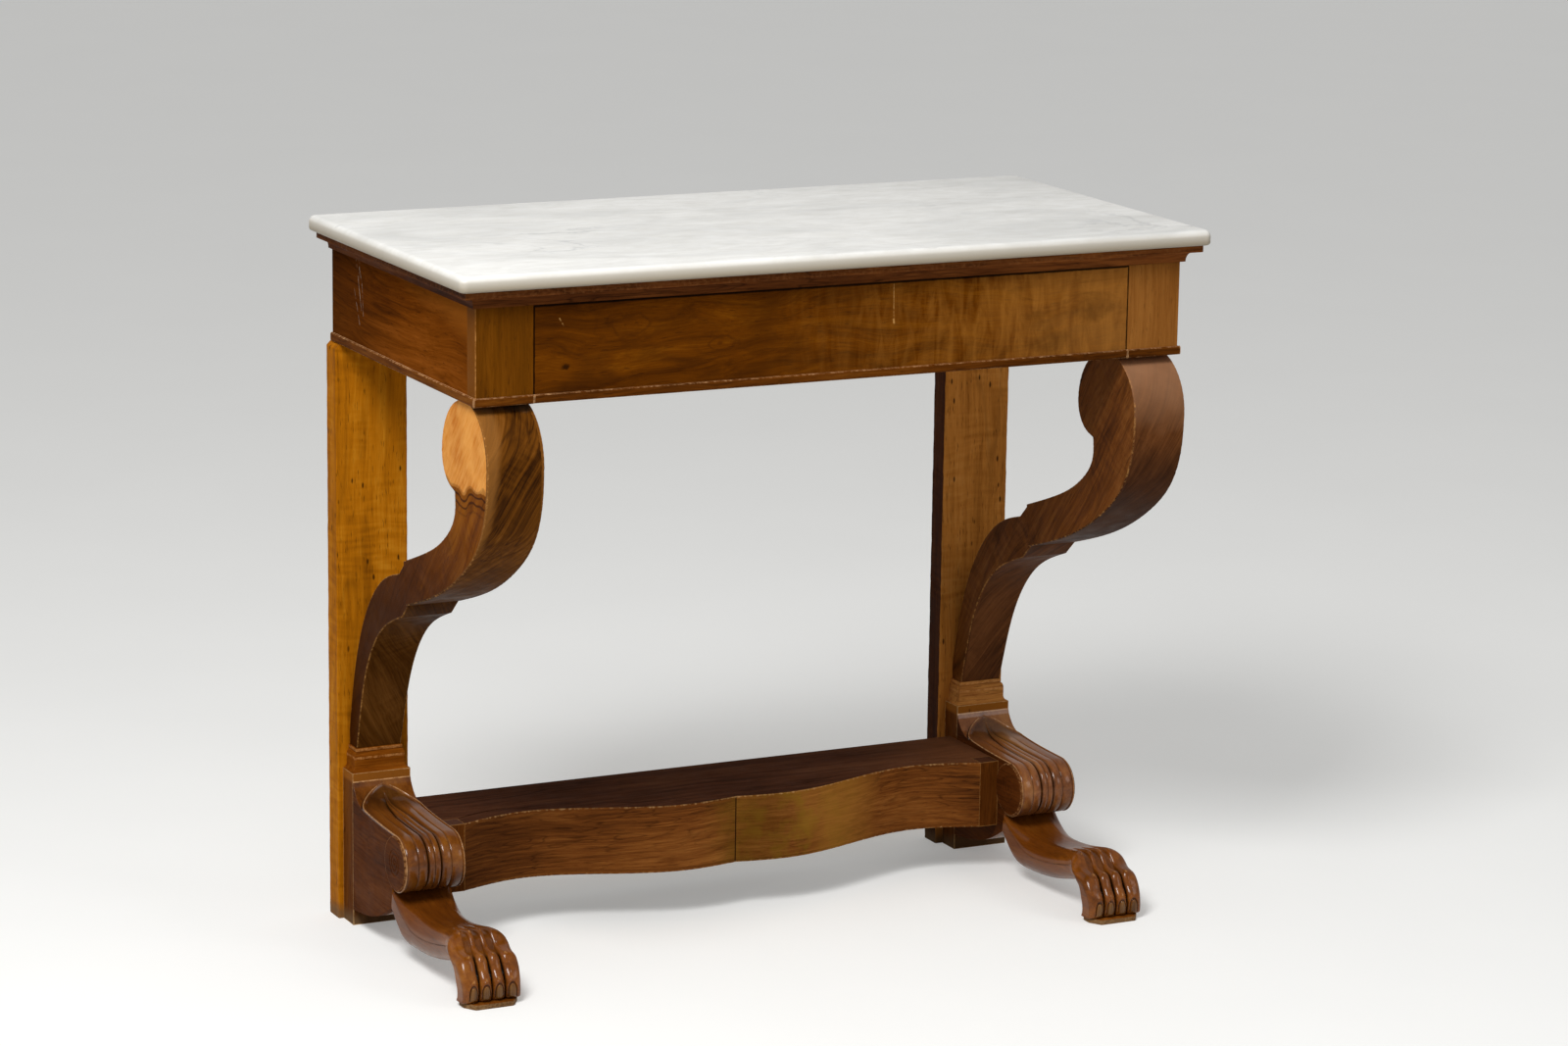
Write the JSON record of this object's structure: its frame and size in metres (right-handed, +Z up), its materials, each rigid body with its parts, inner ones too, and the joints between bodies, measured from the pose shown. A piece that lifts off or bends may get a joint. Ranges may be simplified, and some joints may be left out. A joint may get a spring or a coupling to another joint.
{
  "type": "pier table",
  "caption": "Marble-topped wooden pier table with a hidden frieze drawer, S-scroll legs, flat rear posts, carved volutes and paw feet, and a serpentine shelf.",
  "frame": {"origin": "middle of the table's footprint, on the floor", "axes": "front faces -Y, +Z up, +X to the right seen from the front"},
  "size_m": [0.964, 0.4911, 0.87],
  "materials": {
    "marble": "honed white marble with faint grey veins",
    "walnut": "French-polished figured walnut",
    "dark_walnut": "dark polished walnut",
    "golden_walnut": "waxed golden walnut",
    "carved_walnut": "carved and polished walnut",
    "secondary_wood": "unpolished oak and pine",
    "beech": "plain beech",
    "steel": "dull steel"
  },
  "bodies": {
    "table": {"back_panel": "secondary_wood", "base_moulding_left": "walnut", "base_moulding_right": "walnut", "bead_side_left": "walnut", "bead_side_right": "walnut", "bead_stile_left": "walnut", "bead_stile_right": "walnut", "corner_blocks": "secondary_wood", "cornice_front": "dark_walnut", "cornice_side_left": "dark_walnut", "cornice_side_right": "dark_walnut", "dowels": "beech", "drawer_guide_left": "secondary_wood", "drawer_guide_right": "secondary_wood", "drawer_kicker_left": "secondary_wood", "drawer_kicker_right": "secondary_wood", "drawer_runner_left": "secondary_wood", "drawer_runner_right": "secondary_wood", "drawer_stops": "secondary_wood", "lower_back_rail": "secondary_wood", "lower_rail": "secondary_wood", "lower_side_rail_left": "secondary_wood", "lower_side_rail_right": "secondary_wood", "paw_foot_left": "carved_walnut", "paw_foot_right": "carved_walnut", "plinth_block_left": "walnut", "plinth_block_right": "walnut", "post_screws": "steel", "rear_post_left": "golden_walnut", "rear_post_right": "golden_walnut", "scroll_leg_left": "walnut", "scroll_leg_right": "walnut", "shelf_back_rail": "secondary_wood", "shelf_board": "walnut", "shelf_end_block_left": "walnut", "shelf_end_block_right": "walnut", "shelf_front_left": "walnut", "shelf_front_right": "walnut", "shelf_glue_blocks": "secondary_wood", "side_panel_left": "walnut", "side_panel_right": "walnut", "stile_left": "walnut", "stile_right": "walnut", "top_cross_rail": "secondary_wood", "top_rail": "secondary_wood", "volute_left": "carved_walnut", "volute_right": "carved_walnut"},
    "drawer": {"drawer_back": "secondary_wood", "drawer_bead": "walnut", "drawer_bottom": "secondary_wood", "drawer_front": "walnut", "drawer_side_left": "secondary_wood", "drawer_side_right": "secondary_wood"},
    "marble": {"marble_top": "marble"}
  },
  "joints": [
    {"name": "drawer_slide", "type": "slide", "parent": "table", "child": "drawer", "axis": [0, -1, 0], "range_m": [0, 0.28]},
    {"name": "marble_lift", "type": "slide", "parent": "table", "child": "marble", "axis": [0, 0, 1], "range_m": [0, 0.1]}
  ]
}
